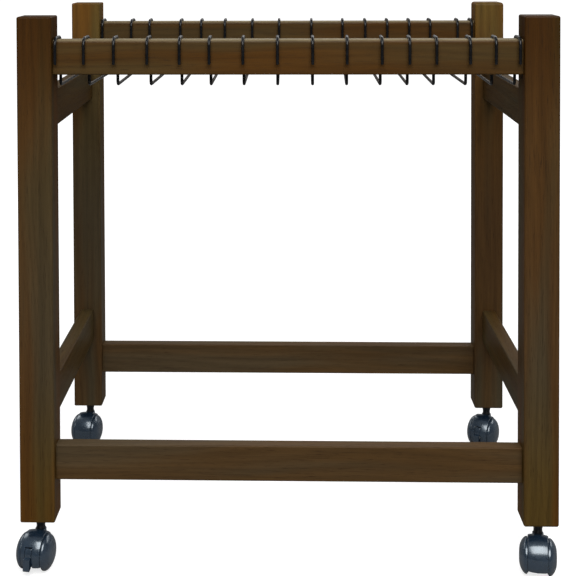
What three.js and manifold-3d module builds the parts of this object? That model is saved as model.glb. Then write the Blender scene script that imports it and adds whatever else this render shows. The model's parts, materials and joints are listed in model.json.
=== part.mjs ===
// Newspaper rack: an open wooden frame on four twin-wheel casters, with sixteen wire hanger bars.
// Millimetres, +Z up. X runs along the long rails, the front is -Y, and the floor is Z = 0.

import * as THREE from 'three';
import { mergeVertices } from 'three/addons/utils/BufferGeometryUtils.js';
import Module from 'manifold-3d';

const wasm = await Module();
wasm.setup();

// ---- driving dimensions ----

const FRAME_WIDTH = 690;
const FRAME_DEPTH = 450;
const LEG = 45;
const LEG_LENGTH = 652;
const LEG_BOTTOM = 62;
const LEG_EDGE = 3;
const LEG_END_EDGE = 1.6;

const HANGING_RAIL = { thick: 28, high: 45, top: 684, topEdge: 4, bottomEdge: 2 };
const LOWER_RAIL = { thick: 20, high: 46, top: 159, topEdge: 1.5, bottomEdge: 1.5 };
const UPPER_SIDE_RAIL = { thick: 20, high: 50, top: 611, topEdge: 1.5, bottomEdge: 1.5 };
const LOWER_SIDE_RAIL = { thick: 20, high: 50, top: 220, topEdge: 1.5, bottomEdge: 1.5 };

const TENON = { thick: 10, shoulder: 8, length: 20 };
const SCREW = { shank: 3.2, taper: 5, head: 5, headHigh: 3.5, sunk: 1, intoRail: 30 };
const HEX_SOCKET = { across: 4, deep: 2.4 };
const FIT_GAP = 0.3;
const BORE_SIDES = 10;
const EDGE_STEPS = 2;

// Each hanger bar's place along the front rail and along the back rail, from left to right.
const HANGER_PLACES = [
  [-296, -296], [-259, -249], [-221, -220], [-178, -170],
  [-137, -137], [-99, -99], [-56, -55], [-12, -12],
  [33, 40], [77, 90], [121, 126], [156, 161],
  [190, 196], [232, 229], [265, 273], [295, 295],
];
const WIRE = 4;
const HOOK = { wide: 40, corner: 10, freeLeg: 34, drop: 63, barCorner: 5 };

const CASTER = { wheel: 22.5, trail: 16, axle: 3, axleLong: 40 };
// A wheel's outer face: each radius, and how far it stands out from the wheel's inner face.
const WHEEL_FACE = [[22.5, 2], [21.5, 3.6], [19.8, 5.3], [17.2, 7.2], [13.6, 9], [8, 10.2], [0, 10.4]];
const WHEEL_DISH = { from: 7, to: 19, deep: 3, slope: 1 };
const STEM = { neck: 6, collar: 6.6, collarHigh: 2, stud: 4, studLong: 30, foot: 32 };
const HOOD = { wide: 26, outer: 24, inner: 21.2, crown: 1.5, web: 6, hub: 8 };
// The hood's outer face swells by this much between two angles round the axle, in degrees.
const HOOD_SWELL = { high: 2, from: 20, to: 85 };
const SOCKET = { radius: 7.2, top: 45.5, foot: 28 };
const HOOD_ARC = { skirt: -32, nose: 150, web: 10, webBehindLever: 40, steps: 18 };
const LEVER = { aside: -2.2, wide: 8.4, outer: 23.7, inner: 21.3, foot: 6, sideGap: 0.6 };
// The corners of the lever's toe from its ledge inwards: how far out from the axle, and how far up.
const TOE = [[28.6, 1.4], [30, -12.4], [28.2, -13.8], [23, -11.4]];
const PIVOT = { angle: 27, radius: 18.4, pin: 1.3, lugIn: 16.9, lugHalf: 5, ear: 3.2 };
const WHEEL_SIDES = 20;
const AXLE_HEIGHT = CASTER.wheel * Math.cos(Math.PI / WHEEL_SIDES);

const CASTERS = [
  { name: 'front_left', side: -1, end: -1, turn: -11, brake: true },
  { name: 'front_right', side: 1, end: -1, turn: -11, brake: false },
  { name: 'back_left', side: -1, end: 1, turn: -11, brake: false },
  { name: 'back_right', side: 1, end: 1, turn: -28, brake: true },
];

// ---- places worked out from them ----

const LEG_X = (FRAME_WIDTH - LEG) / 2;
const LEG_Y = (FRAME_DEPTH - LEG) / 2;
const RAIL_LONG = FRAME_WIDTH - 2 * LEG;
const SIDE_RAIL_LONG = FRAME_DEPTH - 2 * LEG;
const DEG = Math.PI / 180;

// ---- materials ----

function walnut(color) {
  return new THREE.MeshStandardMaterial({ color, roughness: 0.42, metalness: 0 });
}

const LEG_WOOD = walnut(0x4a321a);
const RAIL_WOOD = walnut(0x483324);
const BLACK_WIRE = new THREE.MeshStandardMaterial({ color: 0x15161a, roughness: 0.3, metalness: 0.4 });
const SLATE_PLASTIC = new THREE.MeshStandardMaterial({ color: 0x232d3a, roughness: 0.22, metalness: 0 });
const BLACK_STEEL = new THREE.MeshStandardMaterial({ color: 0x1a1b1e, roughness: 0.35, metalness: 0.8 });
const ZINC_STEEL = new THREE.MeshStandardMaterial({ color: 0x8d9094, roughness: 0.35, metalness: 0.9 });

// ---- joining and cutting ----

function toSolid(geometry) {
  const bare = geometry.index ? geometry.toNonIndexed() : geometry.clone();
  bare.deleteAttribute('normal');
  bare.deleteAttribute('uv');
  const merged = mergeVertices(bare, 1e-4);
  return new wasm.Manifold(new wasm.Mesh({
    numProp: 3,
    vertProperties: new Float32Array(merged.attributes.position.array),
    triVerts: new Uint32Array(merged.index.array),
  }));
}

function toGeometry(solid) {
  const mesh = solid.getMesh();
  const geometry = new THREE.BufferGeometry();
  geometry.setAttribute('position', new THREE.BufferAttribute(new Float32Array(mesh.vertProperties), 3));
  geometry.setIndex(new THREE.BufferAttribute(new Uint32Array(mesh.triVerts), 1));
  return geometry;
}

function cut(geometry, holes) {
  return toGeometry(holes.reduce((solid, hole) => solid.subtract(toSolid(hole)), toSolid(geometry)));
}

function join(geometries) {
  const [first, ...rest] = geometries.map(toSolid);
  return toGeometry(rest.reduce((solid, next) => solid.add(next), first));
}

function named(name, geometry, material) {
  const mesh = new THREE.Mesh(geometry, material);
  mesh.name = name;
  return mesh;
}

// ---- outlines and simple bodies ----

// A rectangle centred on the origin, with its own radius at the top and the bottom corners.
function roundedRectangle(width, height, topRadius, bottomRadius) {
  const x = width / 2;
  const y = height / 2;
  const shape = new THREE.Shape();
  shape.moveTo(-x + bottomRadius, -y);
  shape.lineTo(x - bottomRadius, -y);
  shape.absarc(x - bottomRadius, -y + bottomRadius, bottomRadius, -Math.PI / 2, 0);
  shape.lineTo(x, y - topRadius);
  shape.absarc(x - topRadius, y - topRadius, topRadius, 0, Math.PI / 2);
  shape.lineTo(-x + topRadius, y);
  shape.absarc(-x + topRadius, y - topRadius, topRadius, Math.PI / 2, Math.PI);
  shape.lineTo(-x, -y + bottomRadius);
  shape.absarc(-x + bottomRadius, -y + bottomRadius, bottomRadius, Math.PI, Math.PI * 1.5);
  return shape;
}

// A cylinder along Z whose lower end is at z = from.
function upright(radius, from, length, sides = 12) {
  const geometry = new THREE.CylinderGeometry(radius, radius, length, sides);
  return geometry.rotateX(Math.PI / 2).translate(0, 0, from + length / 2);
}

// A cylinder along X whose lower end is at x = from.
function lengthwise(radius, from, length, sides = 12) {
  const geometry = new THREE.CylinderGeometry(radius, radius, length, sides);
  return geometry.rotateZ(Math.PI / 2).translate(from + length / 2, 0, 0);
}

// ---- wooden frame ----

// The height of a rail's centre line.
function middle(rail) {
  return rail.top - rail.high / 2;
}

// The bores and mortises of one leg, in a frame at the centre of its foot.
// outward is the direction of the outer side face, inward the direction of the other leg of the side.
function legHoles(outward, inward) {
  const holes = [upright(STEM.stud + FIT_GAP, -1, STEM.studLong + 2, BORE_SIDES)];
  for (const rail of [HANGING_RAIL, LOWER_RAIL]) {
    const height = middle(rail) - LEG_BOTTOM;
    const headDeep = SCREW.headHigh + SCREW.sunk + FIT_GAP;
    const shank = lengthwise(SCREW.shank + FIT_GAP, -LEG / 2 - 1, LEG + 2, BORE_SIDES);
    const seat = lengthwise(SCREW.head + FIT_GAP, LEG / 2 - headDeep, headDeep + 1, BORE_SIDES);
    for (const bore of [shank, seat]) {
      holes.push(bore.rotateZ(outward > 0 ? 0 : Math.PI).translate(0, 0, height));
    }
  }
  for (const rail of [UPPER_SIDE_RAIL, LOWER_SIDE_RAIL]) {
    const deep = TENON.length + 1 + FIT_GAP;
    const high = rail.high - 2 * TENON.shoulder + 2 * FIT_GAP;
    const mortise = new THREE.BoxGeometry(TENON.thick + 2 * FIT_GAP, deep, high);
    mortise.translate(0, inward * (LEG / 2 + 1 - deep / 2), middle(rail) - LEG_BOTTOM);
    holes.push(mortise);
  }
  return holes;
}

function leg(name, side, end) {
  const outline = roundedRectangle(LEG, LEG, LEG_EDGE, LEG_EDGE);
  const post = new THREE.ExtrudeGeometry(outline, {
    depth: LEG_LENGTH - 2 * LEG_END_EDGE,
    curveSegments: EDGE_STEPS,
    bevelThickness: LEG_END_EDGE,
    bevelSize: LEG_END_EDGE,
    bevelOffset: -LEG_END_EDGE,
    bevelSegments: 1,
  }).translate(0, 0, LEG_END_EDGE);
  const mesh = named(name, cut(post, legHoles(side, -end)), LEG_WOOD);
  mesh.position.set(side * LEG_X, end * LEG_Y, LEG_BOTTOM);
  return mesh;
}

// A rail along X, centred on the origin, before any bore is cut in it.
function plainRail(rail, length) {
  const outline = roundedRectangle(rail.thick, rail.high, rail.topEdge, rail.bottomEdge);
  const options = { depth: length, curveSegments: EDGE_STEPS, bevelEnabled: false };
  const body = new THREE.ExtrudeGeometry(outline, options);
  return body.translate(0, 0, -length / 2).rotateX(Math.PI / 2).rotateZ(Math.PI / 2);
}

function longRail(name, rail, end) {
  const deep = SCREW.intoRail + 2;
  const bores = [-1, 1].map((side) => {
    const bore = lengthwise(SCREW.shank + FIT_GAP, RAIL_LONG / 2 - deep, deep + 1, BORE_SIDES);
    return side > 0 ? bore : bore.rotateZ(Math.PI);
  });
  const mesh = named(name, cut(plainRail(rail, RAIL_LONG), bores), RAIL_WOOD);
  mesh.position.set(0, end * LEG_Y, middle(rail));
  return mesh;
}

// A side rail has a glued tenon at both ends.
function sideRail(name, rail, side) {
  const high = rail.high - 2 * TENON.shoulder;
  const tenons = new THREE.BoxGeometry(SIDE_RAIL_LONG + 2 * TENON.length, TENON.thick, high);
  const mesh = named(name, join([plainRail(rail, SIDE_RAIL_LONG), tenons]), RAIL_WOOD);
  mesh.position.set(side * LEG_X, 0, middle(rail));
  mesh.rotation.z = Math.PI / 2;
  return mesh;
}

// A connector screw lies along X with its head at the outer side face of a leg.
function connectorScrew(name, rail, side, end) {
  const headTop = FRAME_WIDTH / 2 - SCREW.sunk;
  const tip = RAIL_LONG / 2 - SCREW.intoRail;
  const neck = headTop - SCREW.headHigh;
  const profile = [
    [0, tip],
    [SCREW.shank / 2, tip],
    [SCREW.shank, tip + SCREW.taper],
    [SCREW.shank, neck],
    [SCREW.head, neck],
    [SCREW.head, headTop],
    [0, headTop],
  ].map(([radius, along]) => new THREE.Vector2(radius, along));
  const body = new THREE.LatheGeometry(profile, BORE_SIDES).rotateZ(-Math.PI / 2);
  const hexRadius = HEX_SOCKET.across / Math.sqrt(3);
  const socket = lengthwise(hexRadius, headTop - HEX_SOCKET.deep, HEX_SOCKET.deep + 1, 6);
  const mesh = named(name, cut(body, [socket]), ZINC_STEEL);
  mesh.position.set(0, end * LEG_Y, middle(rail));
  mesh.rotation.z = side > 0 ? 0 : Math.PI;
  return mesh;
}

// ---- hanger bars ----

// A path through given points, with its tangent at each point halfway between its two neighbours.
class BentPath extends THREE.Curve {
  constructor(points) {
    super();
    this.points = points;
  }

  getPointAt(u, target = new THREE.Vector3()) {
    return target.copy(this.points[Math.round(u * (this.points.length - 1))]);
  }

  getPoint(u, target) {
    return this.getPointAt(u, target);
  }

  getTangentAt(u, target = new THREE.Vector3()) {
    const last = this.points.length - 1;
    const i = Math.round(u * last);
    const into = this.points[i].clone().sub(this.points[Math.max(i - 1, 0)]).normalize();
    const out = this.points[Math.min(i + 1, last)].clone().sub(this.points[i]).normalize();
    return target.copy(into.add(out).normalize());
  }
}

// The quarter bend in the YZ plane around a centre, between two angles in degrees.
function bend(y, z, radius, from, to, steps) {
  return Array.from({ length: steps + 1 }, (_, i) => {
    const angle = (from + ((to - from) * i) / steps) * DEG;
    return new THREE.Vector3(0, y + radius * Math.cos(angle), z + radius * Math.sin(angle));
  });
}

// The front half of the wire, from its free end to the middle of the bar. Z = 0 is the rail's top.
function hangerHalf() {
  const top = WIRE / 2 + FIT_GAP;
  const outer = -LEG_Y - HOOK.wide / 2;
  const inner = -LEG_Y + HOOK.wide / 2;
  const bottom = top - HOOK.drop;
  return [
    new THREE.Vector3(0, outer, top - HOOK.freeLeg),
    ...bend(outer + HOOK.corner, top - HOOK.corner, HOOK.corner, 180, 90, 3),
    ...bend(inner - HOOK.corner, top - HOOK.corner, HOOK.corner, 90, 0, 3),
    ...bend(inner + HOOK.barCorner, bottom + HOOK.barCorner, HOOK.barCorner, 180, 270, 2),
  ];
}

function hangerGeometry() {
  const front = hangerHalf();
  const back = front.map((point) => new THREE.Vector3(0, -point.y, point.z)).reverse();
  const path = new BentPath([...front, ...back]);
  const section = new THREE.Shape();
  const sides = 6;
  for (let i = 0; i < sides; i += 1) {
    const angle = ((i + 0.5) / sides) * 2 * Math.PI;
    section[i ? 'lineTo' : 'moveTo'](WIRE / 2 * Math.cos(angle), WIRE / 2 * Math.sin(angle));
  }
  return new THREE.ExtrudeGeometry(section, { steps: path.points.length - 1, extrudePath: path });
}

function hanger(number, frontX, backX) {
  const mesh = named(`hanger_${String(number).padStart(2, '0')}`, hangerGeometry(), BLACK_WIRE);
  mesh.position.set((frontX + backX) / 2, 0, HANGING_RAIL.top);
  mesh.rotation.z = Math.asin((frontX - backX) / (2 * LEG_Y));
  return mesh;
}

// ---- casters ----
// A caster's own frame has its origin on the floor under the stem. The wheels trail towards -Y.

// A band in the plane across the axle, between two radii and two angles in degrees.
// Angle 0 points along the trail, and 90 points up.
function arcBand(inner, outer, from, to) {
  const shape = new THREE.Shape();
  shape.absarc(0, 0, outer, from * DEG, to * DEG, false);
  shape.absarc(0, 0, inner, to * DEG, from * DEG, true);
  shape.closePath();
  return shape;
}

function disc(radius) {
  return new THREE.Shape().absarc(0, 0, radius, 0, 2 * Math.PI);
}

function ontoAxle(geometry) {
  return geometry.translate(0, -CASTER.trail, AXLE_HEIGHT);
}

// Gives an outline around the axle a width, centred on a plane beside the caster's middle.
function acrossAxle(shape, width, curveSegments = 5, aside = 0) {
  const body = new THREE.ExtrudeGeometry(shape, { depth: width, curveSegments, bevelEnabled: false });
  body.translate(0, 0, -width / 2).rotateX(Math.PI / 2).rotateZ(-Math.PI / 2);
  return ontoAxle(body.translate(aside, 0, 0));
}

// A cylinder around the lever's pivot line.
function pivotPin(radius, length) {
  const along = -Math.cos(PIVOT.angle * DEG) * PIVOT.radius;
  const up = Math.sin(PIVOT.angle * DEG) * PIVOT.radius;
  const pin = lengthwise(radius, -length / 2, length, BORE_SIDES);
  return ontoAxle(pin.translate(LEVER.aside, along, up));
}

// The stem: a stud up into the leg, a collar under the leg, a neck, and a pin down into the hood.
function stem() {
  const neckFoot = SOCKET.top + FIT_GAP;
  const top = LEG_BOTTOM - FIT_GAP;
  return join([
    upright(STEM.collar, top - STEM.collarHigh, STEM.collarHigh),
    upright(STEM.neck, neckFoot, top - neckFoot),
    upright(STEM.stud, STEM.foot, LEG_BOTTOM + STEM.studLong - STEM.foot),
  ]);
}

// A closed body through rings that all have the same number of points.
function loft(rings) {
  const count = rings[0].length;
  const index = [];
  const last = (rings.length - 1) * count;
  for (let r = 0; r < last; r += count) {
    for (let i = 0; i < count; i += 1) {
      const next = (i + 1) % count;
      index.push(r + i, r + next, r + count + i, r + next, r + count + next, r + count + i);
    }
  }
  for (let i = 1; i < count - 1; i += 1) {
    index.push(0, i + 1, i, last, last + i, last + i + 1);
  }
  const geometry = new THREE.BufferGeometry();
  geometry.setAttribute('position', new THREE.Float32BufferAttribute(rings.flat(2), 3));
  geometry.setIndex(index);
  return geometry;
}

// The hood's shell: a band round the axle, crowned across and swelling towards its top.
function shell() {
  const half = HOOD.wide / 2;
  const across = [-1, -0.8, -0.45, 0, 0.45, 0.8, 1];
  const rings = Array.from({ length: HOOD_ARC.steps + 1 }, (_, i) => {
    const angle = HOOD_ARC.skirt + ((HOOD_ARC.nose - HOOD_ARC.skirt) * i) / HOOD_ARC.steps;
    const swell = HOOD_SWELL.high * THREE.MathUtils.smoothstep(angle, HOOD_SWELL.from, HOOD_SWELL.to);
    const at = (x, radius) => [x, -radius * Math.cos(angle * DEG), radius * Math.sin(angle * DEG)];
    return [
      ...across.map((s) => at(s * half, HOOD.outer + swell - HOOD.crown * s * s)),
      at(half, HOOD.inner),
      at(-half, HOOD.inner),
    ];
  });
  return ontoAxle(loft(rings));
}

// The hood: the shell over a middle web, with the stem's socket on its leading side.
// A hood with a brake has a slot down its trailing face, and two ears for the lever's pivot.
function hood(withSlot) {
  const overlap = 0.5;
  const webStart = withSlot ? HOOD_ARC.webBehindLever : HOOD_ARC.web;
  const web = arcBand(HOOD.hub - overlap, HOOD.inner + overlap, webStart, HOOD_ARC.nose);
  const parts = [
    shell(),
    acrossAxle(web, HOOD.web),
    acrossAxle(disc(HOOD.hub), HOOD.web),
    upright(SOCKET.radius, SOCKET.foot, SOCKET.top - SOCKET.foot),
  ];
  const stemPlay = 0.5;
  const neckPlay = 0.6;
  const holes = [
    ontoAxle(lengthwise(CASTER.axle + FIT_GAP, -HOOD.wide, 2 * HOOD.wide)),
    upright(STEM.stud + FIT_GAP, STEM.foot - stemPlay, SOCKET.top),
    upright(STEM.neck + neckPlay, SOCKET.top, HOOD.outer),
  ];
  if (withSlot) {
    const slotWidth = LEVER.wide + 2 * LEVER.sideGap;
    const earFrom = PIVOT.angle - PIVOT.lugHalf;
    const earTo = PIVOT.angle + PIVOT.lugHalf;
    const ears = arcBand(PIVOT.lugIn, HOOD.inner + overlap, earFrom, earTo);
    const slot = arcBand(PIVOT.lugIn - 2, HOOD.outer + 4, -50, earTo + 3);
    parts.push(acrossAxle(ears, slotWidth + 2 * PIVOT.ear, 3, LEVER.aside));
    holes.push(acrossAxle(slot, slotWidth, 5, LEVER.aside));
    holes.push(pivotPin(PIVOT.pin + FIT_GAP, slotWidth + 3 * PIVOT.ear));
  }
  return cut(join(parts), holes);
}

// The lever's toe, which stands out from the foot of its blade.
function toe() {
  const foot = LEVER.foot * DEG;
  const overlap = 2 * DEG;
  const shape = new THREE.Shape();
  shape.moveTo(LEVER.outer * Math.cos(foot + overlap), LEVER.outer * Math.sin(foot + overlap));
  shape.lineTo(LEVER.inner * Math.cos(foot + overlap), LEVER.inner * Math.sin(foot + overlap));
  shape.lineTo(LEVER.inner * Math.cos(foot), LEVER.inner * Math.sin(foot));
  for (const corner of [...TOE].reverse()) {
    shape.lineTo(...corner);
  }
  shape.lineTo(LEVER.outer * Math.cos(foot), LEVER.outer * Math.sin(foot));
  shape.closePath();
  return shape;
}

// A brake lever lies in the hood's slot, from its pivot down to a toe that stands out.
function brakeLever() {
  const top = PIVOT.angle + PIVOT.lugHalf;
  const lug = arcBand(PIVOT.lugIn, LEVER.inner + 0.5, top - 2 * PIVOT.lugHalf, top);
  return join([
    acrossAxle(arcBand(LEVER.inner, LEVER.outer, LEVER.foot, top), LEVER.wide, 5, LEVER.aside),
    acrossAxle(lug, LEVER.wide, 3, LEVER.aside),
    acrossAxle(toe(), LEVER.wide, 1, LEVER.aside),
    pivotPin(PIVOT.pin, LEVER.wide + 2 * PIVOT.ear),
  ]);
}

// One wheel of the pair. Its outer face is domed, its inner face is dished, and its bore is blind.
function wheel(side) {
  const inside = HOOD.wide / 2 + FIT_GAP;
  const boreEnd = CASTER.axleLong / 2 + FIT_GAP;
  const dish = WHEEL_DISH;
  const profile = [
    [0, boreEnd],
    [CASTER.axle + FIT_GAP, boreEnd],
    [CASTER.axle + FIT_GAP, inside],
    [dish.from, inside],
    [dish.from + dish.slope, inside + dish.deep],
    [dish.to - dish.slope, inside + dish.deep],
    [dish.to, inside],
    [CASTER.wheel, inside],
    ...WHEEL_FACE.map(([radius, out]) => [radius, inside + out]),
  ].map(([radius, along]) => new THREE.Vector2(radius, along));
  const body = new THREE.LatheGeometry(profile, WHEEL_SIDES, Math.PI / WHEEL_SIDES);
  return ontoAxle(body.rotateZ(-side * Math.PI / 2));
}

function axle() {
  return ontoAxle(lengthwise(CASTER.axle, -CASTER.axleLong / 2, CASTER.axleLong));
}

function caster({ name, side, end, turn, brake }) {
  const group = new THREE.Group();
  const prefix = `caster_${name}_`;
  group.add(
    named(`${prefix}stem`, stem(), BLACK_STEEL),
    named(`${prefix}hood`, hood(brake), SLATE_PLASTIC),
    named(`${prefix}axle`, axle(), ZINC_STEEL),
    named(`${prefix}wheel_left`, wheel(-1), SLATE_PLASTIC),
    named(`${prefix}wheel_right`, wheel(1), SLATE_PLASTIC),
  );
  if (brake) {
    group.add(named(`${prefix}brake_lever`, brakeLever(), SLATE_PLASTIC));
  }
  group.position.set(side * LEG_X, end * LEG_Y, 0);
  group.rotation.z = turn * DEG;
  return group;
}

// ---- the rack ----

const rack = new THREE.Group();

for (const [endName, end] of [['front', -1], ['back', 1]]) {
  rack.add(longRail(`hanging_rail_${endName}`, HANGING_RAIL, end));
  rack.add(longRail(`lower_rail_${endName}`, LOWER_RAIL, end));
  for (const [sideName, side] of [['left', -1], ['right', 1]]) {
    rack.add(leg(`leg_${endName}_${sideName}`, side, end));
    rack.add(connectorScrew(`screw_upper_${endName}_${sideName}`, HANGING_RAIL, side, end));
    rack.add(connectorScrew(`screw_lower_${endName}_${sideName}`, LOWER_RAIL, side, end));
  }
}

for (const [sideName, side] of [['left', -1], ['right', 1]]) {
  rack.add(sideRail(`side_rail_upper_${sideName}`, UPPER_SIDE_RAIL, side));
  rack.add(sideRail(`side_rail_lower_${sideName}`, LOWER_SIDE_RAIL, side));
}

HANGER_PLACES.forEach(([frontX, backX], i) => rack.add(hanger(i + 1, frontX, backX)));

CASTERS.forEach((place) => rack.add(caster(place)));

// The origin is on the floor, at the middle of the whole footprint with the casters as they stand.
const footprint = new THREE.Box3().setFromObject(rack, true).getCenter(new THREE.Vector3());
rack.position.set(-footprint.x, -footprint.y, 0);

export default rack;
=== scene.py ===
"""Newspaper rack: a stained wooden frame, black wire hanger bars and twin-wheel casters."""

import json
import math
import random

import bmesh
import bpy
from mathutils import Matrix, Vector


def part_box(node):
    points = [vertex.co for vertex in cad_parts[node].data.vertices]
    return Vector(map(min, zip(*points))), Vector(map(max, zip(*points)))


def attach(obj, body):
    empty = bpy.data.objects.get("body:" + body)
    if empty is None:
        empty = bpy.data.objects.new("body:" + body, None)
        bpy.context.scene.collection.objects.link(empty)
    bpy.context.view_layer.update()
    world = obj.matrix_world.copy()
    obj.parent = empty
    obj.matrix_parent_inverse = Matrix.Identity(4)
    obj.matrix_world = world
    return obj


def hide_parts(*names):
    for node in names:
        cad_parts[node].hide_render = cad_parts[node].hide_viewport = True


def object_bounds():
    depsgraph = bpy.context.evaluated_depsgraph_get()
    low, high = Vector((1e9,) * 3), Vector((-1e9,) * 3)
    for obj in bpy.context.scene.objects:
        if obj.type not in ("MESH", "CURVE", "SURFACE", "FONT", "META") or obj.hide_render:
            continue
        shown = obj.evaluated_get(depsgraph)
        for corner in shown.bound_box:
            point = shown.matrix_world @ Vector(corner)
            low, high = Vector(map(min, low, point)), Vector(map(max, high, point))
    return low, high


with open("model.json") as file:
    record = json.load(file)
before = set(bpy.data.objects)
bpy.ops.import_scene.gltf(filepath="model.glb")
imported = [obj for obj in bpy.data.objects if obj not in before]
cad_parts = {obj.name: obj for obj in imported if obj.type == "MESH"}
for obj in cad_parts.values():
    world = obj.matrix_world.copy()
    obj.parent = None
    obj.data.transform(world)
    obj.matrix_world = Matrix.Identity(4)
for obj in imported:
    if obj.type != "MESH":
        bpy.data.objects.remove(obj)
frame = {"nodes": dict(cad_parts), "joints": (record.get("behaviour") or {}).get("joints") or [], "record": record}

CAD_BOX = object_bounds()
MM = 0.001
NODES = frame["nodes"]
BODY_OF = {
    node: body
    for body, nodes in frame["record"]["behaviour"]["bodies"].items()
    for node in nodes
}
JOINTS = {joint["name"]: joint for joint in frame["joints"]}

# ---- dimensions in millimetres that the boxes of the CAD nodes don't give ----

LEG_WIDE, LEG_TOP, LEG_EDGE = 45.0, 714.0, 2.7
LEG_FACE, RAIL_END = 345.0, 300.0  # X of the legs' outer side faces and of the long rails' ends
RAIL_EDGES = {"hanging": (4.2, 2.2), "lower": (1.8, 1.8), "side": (1.8, 1.8)}
LEG_ENDS = {  # how far the top and the bottom end of each leg are eased
    "front_left": (2.2, 1.4),
    "front_right": (2.4, 3.2),
    "back_left": (2.0, 1.6),
    "back_right": (4.6, 3.0),
}
SCREW_SHANK, SCREW_HEAD, SCREW_HEAD_HIGH, SCREW_SUNK = 3.2, 5.0, 3.5, 1.0
SCREW_BITE, SCREW_BORE = 30.0, 32.0  # how far the screw and its bore reach into a rail's end
THREAD_PITCH, THREAD_DEEP = 1.6, 0.28
HEX_ACROSS, HEX_DEEP = 4.0, 2.4
TENON_THICK, TENON_SHOULDER, TENON_LONG = 10.0, 8.0, 20.0
FIT_GAP = 0.3
PAST = 1.0  # how far a cutting body stands out past the face it starts from

WIRE_RADIUS = 2.0
DOME_FLAT = 0.6  # how high the domed end of a wire is, as a share of its radius
HOOK_WIDE, HOOK_CORNER, HOOK_FREE, HOOK_DROP, BAR_CORNER = 40.0, 10.0, 34.0, 63.0, 5.0

WHEEL_RADIUS, TRAIL, AXLE_HEIGHT = 22.22, 16.0, 22.223
WHEEL_SIDE = [  # the outer face: each radius, and how far it stands out from the inner face
    (22.14, 2.0), (21.9, 2.7), (21.4, 3.55), (20.6, 4.5), (19.4, 5.6), (17.8, 6.8), (16.4, 7.62),
    (15.6, 8.03), (15.4, 7.96), (15.2, 7.96), (15.0, 8.32), (13.0, 9.15), (10.6, 9.78),
    (8.0, 10.16), (6.2, 10.28), (6.05, 10.2), (5.9, 10.2), (5.75, 10.32), (4.0, 10.37),
    (2.0, 10.4), (0, 10.4),
]
WHEEL_LIP = 1.3
HOOD_WIDE, HOOD_OUTER, HOOD_INNER, HOOD_CROWN, HOOD_EDGE = 26.0, 24.0, 21.2, 1.5, 0.7
SWELL_HIGH, SWELL_FROM, SWELL_TO = 2.0, 20, 85
WEB_WIDE, HUB_RADIUS = 6.0, 8.0
SUNK_IN = 0.5  # how deep joined bodies reach into each other
SOCKET_RADIUS, SOCKET_TOP, SOCKET_FOOT = 7.2, 45.5, 28.0
SKIRT_ANGLE, NOSE_ANGLE, WEB_ANGLE, WEB_ANGLE_BRAKED, SLOT_FROM = -32, 150, 10, 40, -50
LEVER_ASIDE, LEVER_WIDE, LEVER_OUTER, LEVER_INNER, LEVER_FOOT = -2.2, 8.4, 23.7, 21.3, 6
LEVER_GAP, LEVER_END = 0.6, -29
TOE = [(28.6, 1.4), (30.0, -12.4), (28.2, -13.8), (23.0, -11.4)]  # corners: out from the axle, up
PIVOT_ANGLE, PIVOT_AT, PIVOT_PIN, LUG_IN, LUG_HALF, EAR = 27, 18.4, 1.3, 16.9, 5, 3.2
STUD_RADIUS, STUD_TOP, STUD_BORE = 4.0, 92.0, 31.0
NECK_RADIUS, STEM_FOOT, LEG_FOOT = 6.0, 32.0, 62.0
AXLE_RADIUS, AXLE_LONG = 3.0, 40.0
UPRIGHT = Matrix.Rotation(-math.pi / 2, 4, "Y")
CORNERS = [(end, side) for end in ("front", "back") for side in ("left", "right")]

# Light: (azimuth, elevation, distance, size, radiance) of each softbox, in degrees and metres.
SOFTBOXES = {
    "front_softbox": (4, 42, 2.9, (2.4, 2.0), 6.0),
    "back_softbox": (165, 38, 2.9, (2.0, 1.4), 1.8),
    "right_softbox": (118, 34, 2.9, (1.6, 1.4), 2.2),
    "left_softbox": (-118, 34, 2.9, (1.6, 1.4), 2.2),
}
ROOM_LIGHT = (0.10, 0.35)  # radiance of the room in front of the rack and behind it
FLOOR_HALF, FLOOR_GLOW, FLOOR_BOUNCE = 40.0, 0.72, 0.3
GLOW_REACH = (0.5, 2.2)  # metres from the rack's middle where the floor turns from grey to white

# Millimetres to the right of the front legs' middle, in front of their faces and above the floor.
CAMERA_AT = (-1.22, 1546.69, 796.71)
CAMERA_TURN = (-0.02682, 0.02569, -0.00318)  # yaw, pitch and roll in radians
CAMERA_LENS, CAMERA_SHIFT = 76.393, (0.06082, -0.53016)
SHIFT_REACH = 0.05  # metres that the camera moves before its lens shift is gone


# ---- building meshes ----

def new_piece(name, mesh, node, material, crease=35):
    """A finished mesh in the row frame that stands for a CAD node and rides on its body."""
    obj = bpy.data.objects.new(name, mesh)
    bpy.context.scene.collection.objects.link(obj)
    mesh.materials.clear()
    mesh.materials.append(material)
    mesh.polygons.foreach_set("use_smooth", [True] * len(mesh.polygons))
    mesh.set_sharp_from_angle(angle=math.radians(crease))
    normals = obj.modifiers.new("even_normals", "WEIGHTED_NORMAL")
    normals.keep_sharp = True
    normals.weight = 100
    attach(obj, BODY_OF[node])
    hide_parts(node)
    return obj


def mesh_from(points, faces, matrix=None):
    """A mesh from points in millimetres, with its faces turned outwards."""
    bm = bmesh.new()
    verts = [bm.verts.new(Vector(p) * MM) for p in points]
    for face in faces:
        bm.faces.new([verts[i] for i in face])
    bmesh.ops.remove_doubles(bm, verts=bm.verts, dist=1e-7)
    bmesh.ops.recalc_face_normals(bm, faces=bm.faces)
    if matrix is not None:
        bm.transform(matrix)
    mesh = bpy.data.meshes.new("part")
    bm.to_mesh(mesh)
    bm.free()
    return mesh


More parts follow.
